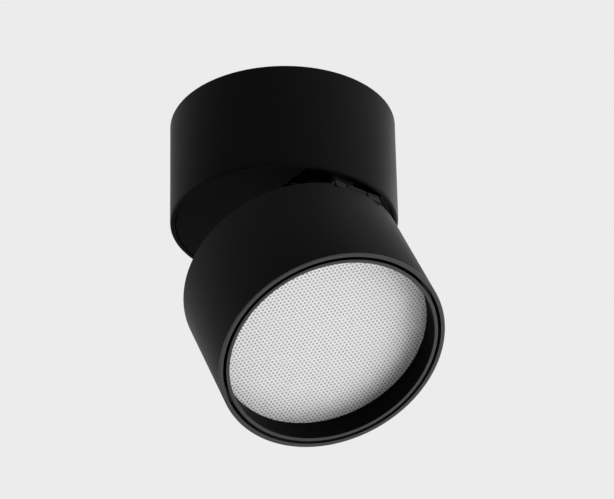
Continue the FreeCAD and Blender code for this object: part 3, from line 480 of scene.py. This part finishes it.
def prism_mesh(name, outline, low_z, high_z):
    """An upright solid with a flat outline of (x, y) points."""
    mesh = bpy.data.meshes.new(name)
    shape = bmesh.new()
    foot = [shape.verts.new((x, y, low_z)) for x, y in outline]
    top = [shape.verts.new((x, y, high_z)) for x, y in outline]
    count = len(outline)
    shape.faces.new(foot[::-1])
    shape.faces.new(top)
    for index in range(count):
        following = (index + 1) % count
        shape.faces.new((foot[index], foot[following], top[following], top[index]))
    bmesh.ops.recalc_face_normals(shape, faces=shape.faces)
    shape.to_mesh(mesh)
    shape.free()
    return mesh


def prism_cutter(outline, low_z, high_z, head=False):
    mesh = prism_mesh("cutter", outline, low_z, high_z)
    if head:
        mesh.transform(TO_REST)
    cutter = bpy.data.objects.new("cutter", mesh)
    bpy.context.scene.collection.objects.link(cutter)
    return cutter


def circle_outline(x, y, radius):
    turns = [2 * math.pi * step / HOLE_STEPS for step in range(HOLE_STEPS)]
    return [(x + radius * math.cos(turn), y + radius * math.sin(turn)) for turn in turns]


def box_outline(low_x, low_y, high_x, high_y):
    return [(low_x, low_y), (high_x, low_y), (high_x, high_y), (low_x, high_y)]


def radial_cutter(radius, azimuth, z):
    """A round cutter through the drum's wall in one direction."""
    cutter = prism_cutter(circle_outline(0, 0, radius), RADIUS * WALL_CUT[0], RADIUS * WALL_CUT[1])
    aim = Matrix.Rotation(azimuth, 4, "Z") @ Matrix.Rotation(math.pi / 2, 4, "Y")
    cutter.data.transform(Matrix.Translation((0, 0, z)) @ aim)
    return cutter


# ---- camera ----------------------------------------------------------------------------

def add_camera():
    """The photograph's view: from below, 38 degrees round to the left of the hinge."""
    place = Vector((-810.57, -1053.49, -860.12)) * MM
    forward = Vector((0.5280, 0.6759, 0.5142)).normalized()
    level = Vector((0.78808, -0.61557, 0.0)).normalized()
    downward = forward.cross(level).normalized()
    roll = math.radians(1.193)
    right = math.cos(roll) * level + math.sin(roll) * downward
    down = -math.sin(roll) * level + math.cos(roll) * downward
    camera = bpy.data.cameras.new("camera")
    camera.lens = 208.34
    camera.sensor_width = 36.0
    camera.clip_end = 50.0
    holder = bpy.data.objects.new("camera", camera)
    turn = Matrix((right, -down, -forward)).transposed().to_4x4()
    holder.matrix_world = Matrix.Translation(place) @ turn
    bpy.context.scene.collection.objects.link(holder)
    bpy.context.scene.camera = holder
    return place, right, down, forward


camera_place, to_right, to_down, to_far = add_camera()


# ---- drums and rings -------------------------------------------------------------------

def make_canopy():
    """The drum with its inner floor, the driver posts and the turning stop's lug."""
    inner = RADIUS - CANOPY_WALL
    finish = ("canopy", "canopy_coat", body_coat, ("canopy_housing",))
    drum = lathe("canopy_drum", [
        (PIVOT_BORE, WEB_LOW, 0), (inner, WEB_LOW, 0), (inner, LIP_Z, FINE_ROUND), (RADIUS, LIP_Z, LIP_ROUND),
        (RADIUS, 0, EDGE_ROUND), (inner, 0, FINE_ROUND), (inner, WEB_TOP, 0), (PIVOT_BORE, WEB_TOP, 0),
    ], *finish)
    bore_out(drum, [radial_cutter(SIDE_SCREW_HOLE, SIDE_SCREW_TURN + turn, SIDE_SCREW_Z)
                    for turn in (0, math.pi)])
    post_top = WEB_TOP + POST_HEIGHT
    for label, x in (("left", -POST_PLACE), ("right", POST_PLACE)):
        lathe(f"driver_post_{label}", [
            (SCREW_BORE, WEB_TOP, 0), (POST_RADIUS, WEB_TOP, 0), (POST_RADIUS, post_top, FINE_ROUND),
            (SCREW_BORE, post_top, 0),
        ], *finish, place=(x, 0), around=POST_STEPS)
    outline = box_outline(-LUG_HALF, -LUG_MIDDLE - LUG_HALF_LENGTH, LUG_HALF, -LUG_MIDDLE + LUG_HALF_LENGTH)
    lug = prism_mesh("stop_lug", outline, WEB_LOW - LUG_DROP, WEB_LOW)
    new_piece("stop_lug", lug, "canopy", (body_coat,), ("canopy_housing",))


def make_head():
    """The head's drum with its rear wall, the hinge notch and the holes of that wall."""
    flange_back = FRONT_Z + TRIM_THICK
    mouth = flange_back + SHADOW_GAP
    step = flange_back + SPIGOT_LENGTH + FIT_GAP
    recess = GROOVE_OUTER + TRIM_SPIGOT + FIT_GAP / 2
    inside = REAR_Z - REAR_WALL
    drum = lathe("head_drum", [
        (0, inside, 0), (GROOVE_OUTER, inside, 0), (GROOVE_OUTER, step, 0), (recess, step, 0),
        (recess, mouth, 0), (RADIUS, mouth, FINE_ROUND), (RADIUS, REAR_Z, EDGE_ROUND), (0, REAR_Z, 0),
    ], "head", "head_coat", body_coat, ("head_housing",), head=True)
    above = REAR_Z + CUT_PAST
    notch = box_outline(KNUCKLES_MIDDLE - NOTCH_HALF, -RADIUS * WALL_CUT[1], KNUCKLES_MIDDLE + NOTCH_HALF,
                        -LEAF_END + FIT_GAP)
    cutters = [prism_cutter(notch, REAR_Z - NOTCH_DEEP, above, head=True)]
    below = inside - CUT_PAST
    cutters.append(prism_cutter(circle_outline(0, -LEAD_PLACE, LEAD_HOLE), below, above, head=True))
    for side in (-1, 1):
        hole = circle_outline(side * SINK_SCREW_PLACE, 0, SCREW_BORE)
        cutters.append(prism_cutter(hole, below, above, head=True))
        x = KNUCKLES_MIDDLE + side * LEAF_SCREW_PLACE
        hole = circle_outline(x, -LEAF_END - LEAF_SCREW_INSET, LEAF_SCREW_HOLE)
        cutters.append(prism_cutter(hole, below, above, head=True))
    bore_out(drum, cutters)


def make_trim_ring():
    back = FRONT_Z + TRIM_THICK
    neck = GROOVE_OUTER + TRIM_SPIGOT
    # The whole trim wears the lighter ring coat: painted light on the black trim.
    lathe("front_trim", [
        (GROOVE_OUTER, FRONT_Z, FINE_ROUND), (RADIUS, FRONT_Z, TRIM_ROUND), (RADIUS, back, TRIM_BACK_ROUND),
        (neck, back, 0), (neck, back + SPIGOT_LENGTH, 0), (GROOVE_OUTER, back + SPIGOT_LENGTH, 0),
    ], "head", "trim_coat", ring_painted_light, ("trim_ring",), head=True)


def make_baffle():
    groove_end = FRONT_Z + GROOVE_DEEP
    rim = GROOVE_OUTER - FIT_GAP
    face = FRONT_Z + RECESS
    seat = DIFFUSER_RADIUS + FIT_GAP
    back = face + DIFFUSER_THICK + SEAT_BEHIND
    baffle = lathe("front_baffle", [
        (RING_INNER, FRONT_Z, FINE_ROUND), (RING_OUTER, FRONT_Z, FINE_ROUND), (RING_OUTER, groove_end, 0),
        (rim, groove_end, 0), (rim, back, 0), (seat, back, 0), (seat, face, 0), (THROAT, face, 0),
    ], "head", "baffle_black", baffle_black, ("baffle_ring",), head=True)
    # Faces turned to the front take the lighter ring coat: painted light where the front annulus catches the
    # lamps.
    dress(baffle, baffle_black, ring_painted_light)
    front = (TO_REST.to_3x3() @ Vector((0, 0, -1))).normalized()
    for face in baffle.data.polygons:
        if face.normal.dot(front) > PAINTED_LIGHT_FACING:
            face.material_index = 1


def dimple_rings():
    """Rings of one lattice cell round its middle, outermost first, as (points, height)."""
    corner = DIMPLE_PITCH / math.sqrt(3)
    side = DIMPLE_PITCH / 2
    edge = [(corner if step % 2 == 0 else side, math.radians(30 + 30 * step))
            for step in range(DIMPLE_STEPS)]
    rings = [([(reach * math.cos(turn), reach * math.sin(turn)) for reach, turn in edge], 0.0)]
    for share, depth in DIMPLE_SHAPE:
        reach = DIMPLE_RADIUS * share
        rings.append(([(reach * math.cos(turn), reach * math.sin(turn)) for _, turn in edge],
                      DIMPLE_DEEP * depth))
    return rings


def clamped(spot):
    """A spot on the plate, drawn in to its edge where it lies outside."""
    if spot.length <= DIFFUSER_RADIUS:
        return spot
    return spot * (DIFFUSER_RADIUS / spot.length)


def settle_order(shape):
    """Put edges and faces in an order that hangs on their corners alone, the same in each run."""
    shape.verts.index_update()
    count = len(shape.verts)

    def rank(part):
        number = 0
        for index in sorted(vert.index for vert in part.verts)[:3]:
            number = number * count + index
        return number

    shape.edges.sort(key=rank)
    shape.faces.sort(key=rank)


def make_diffuser():
    """The plate with round dimples in a hexagonal lattice on its front; the dimples' pits are painted darker
    as shade.
    """
    face = FRONT_Z + RECESS
    rings = dimple_rings()
    shape = bmesh.new()
    spin = Matrix.Rotation(DIMPLE_TURN, 2)
    count = int(DIFFUSER_RADIUS / DIMPLE_PITCH) + 2
    rise = DIMPLE_PITCH * math.sqrt(3) / 2
    for row in range(-count - 4, count + 5):
        for column in range(-count, count + 1):
            middle = Vector(((column + (row % 2) / 2) * DIMPLE_PITCH, row * rise))
            if middle.length > DIFFUSER_RADIUS + DIMPLE_PITCH / 2:
                continue
            loops = []
            for points, depth in rings:
                spots = [spin @ (middle + Vector(point)) for point in points]
                loops.append([shape.verts.new((*clamped(spot), face + depth)) for spot in spots])
            for number in range(len(loops) - 1):
                for step in range(DIMPLE_STEPS):
                    following = (step + 1) % DIMPLE_STEPS
                    quad = (loops[number][step], loops[number][following],
                            loops[number + 1][following], loops[number + 1][step])
                    # Faces inside each dimple take the darker acrylic: painted shade in the pits.
                    shape.faces.new(quad).material_index = 1 if number else 0
            shape.faces.new(loops[-1]).material_index = 1
    bmesh.ops.remove_doubles(shape, verts=shape.verts, dist=2e-6)
    bmesh.ops.dissolve_degenerate(shape, edges=shape.edges, dist=1e-6)
    rim = [edge for edge in shape.edges if edge.is_boundary]
    wall = bmesh.ops.extrude_edge_only(shape, edges=rim)
    moved = [part for part in wall["geom"] if isinstance(part, bmesh.types.BMVert)]
    for vert in moved:
        vert.co.z = face + DIFFUSER_THICK
    back = [part for part in wall["geom"] if isinstance(part, bmesh.types.BMEdge)]
    bmesh.ops.contextual_create(shape, geom=[edge for edge in back if edge.is_boundary])
    settle_order(shape)
    bmesh.ops.recalc_face_normals(shape, faces=shape.faces)
    mesh = bpy.data.meshes.new("diffuser_plate")
    shape.to_mesh(mesh)
    shape.free()
    new_piece("diffuser_plate", mesh, "head", (acrylic, dimple_painted_shade),
              ("diffuser",), head=True)



make_canopy()
make_head()
make_trim_ring()
make_baffle()
make_diffuser()


# ---- light and ground ------------------------------------------------------------------

def add_light(name, place, size, power):
    light = bpy.data.lights.new(name, "AREA")
    light.shape = "RECTANGLE"
    light.size, light.size_y = size
    light.energy = power
    holder = bpy.data.objects.new(name, light)
    holder.location = TARGET + place
    holder.rotation_euler = (-place).to_track_quat("-Z", "Y").to_euler()
    bpy.context.scene.collection.objects.link(holder)
    return holder


# Each lamp: its place to the right, down and away from the view, its size and its power.
LIGHTS = (
    ("right_behind", (0.7, 0.3, 0.75), (0.9, 0.9), 9.6),
    ("right_front", (0.95, 0.2, -0.3), (0.9, 0.9), 6.4),
    ("right_below", (0.75, 0.6, 0.3), (0.9, 0.9), 1.2),
    ("below", (0.6, 0.75, -0.2), (0.9, 0.9), 3.8),
    ("right_side", (0.9, -0.5, 0.4), (0.9, 0.9), 0.5),
    ("right_above", (0.5, -0.85, 0.1), (0.9, 0.9), 0.8),
    ("left_below", (-0.8, 0.5, 0.2), (0.9, 0.9), 2.2),
)
AMBIENT = 0.035
SHOWN = 0.838
FADE = (0.3, 0.95)
TARGET = Vector((0, -0.01, -0.08))
FLOOR_HALF = 20.0
FLOOR_Z = -1.4
FLOOR_THICK = 0.02
BACKDROP = 0.52
for light_name, (right, down, far), size, power in LIGHTS:
    add_light(light_name, to_right * right + to_down * down + to_far * far, size, power)


def build_world():
    """A pale backdrop, seen directly, in reflections and through clear pieces; soft fill elsewhere."""
    world = bpy.data.worlds.new("studio")
    bpy.context.scene.world = world
    world.use_nodes = True
    tree = world.node_tree
    tree.nodes.clear()
    output = tree.nodes.new("ShaderNodeOutputWorld")
    seen = add(tree, "ShaderNodeBackground", inputs={"Color": (*tone(SHOWN), 1), "Strength": 1.0})
    lit = add(tree, "ShaderNodeBackground", inputs={"Color": (1, 1, 1, 1)})
    direction = add(tree, "ShaderNodeTexCoord").outputs["Generated"]
    facing = add(tree, "ShaderNodeVectorMath", operation="DOT_PRODUCT")
    facing.inputs[1].default_value = to_far
    tree.links.new(direction, facing.inputs[0])
    strength = rescale(tree, facing.outputs["Value"], *FADE, AMBIENT, BACKDROP)
    tree.links.new(strength, lit.inputs["Strength"])
    path = tree.nodes.new("ShaderNodeLightPath")
    mirrored = arithmetic(tree, "MAXIMUM", path.outputs["Is Glossy Ray"], path.outputs["Is Transmission Ray"])
    shown = arithmetic(tree, "MAXIMUM", path.outputs["Is Camera Ray"], mirrored)
    blend = tree.nodes.new("ShaderNodeMixShader")
    tree.links.new(shown, blend.inputs["Fac"])
    tree.links.new(lit.outputs["Background"], blend.inputs[1])
    tree.links.new(seen.outputs["Background"], blend.inputs[2])
    tree.links.new(blend.outputs["Shader"], output.inputs["Surface"])


def make_floor():
    """A pale studio floor well below the ceiling lamp."""
    outline = box_outline(-FLOOR_HALF, -FLOOR_HALF, FLOOR_HALF, FLOOR_HALF)
    mesh = prism_mesh("floor", outline, FLOOR_Z - FLOOR_THICK, FLOOR_Z)
    floor = bpy.data.objects.new("floor", mesh)
    bpy.context.scene.collection.objects.link(floor)
    dress(floor, floor_paint)


make_floor()
build_world()

bpy.context.scene.view_settings.view_transform = "Standard"
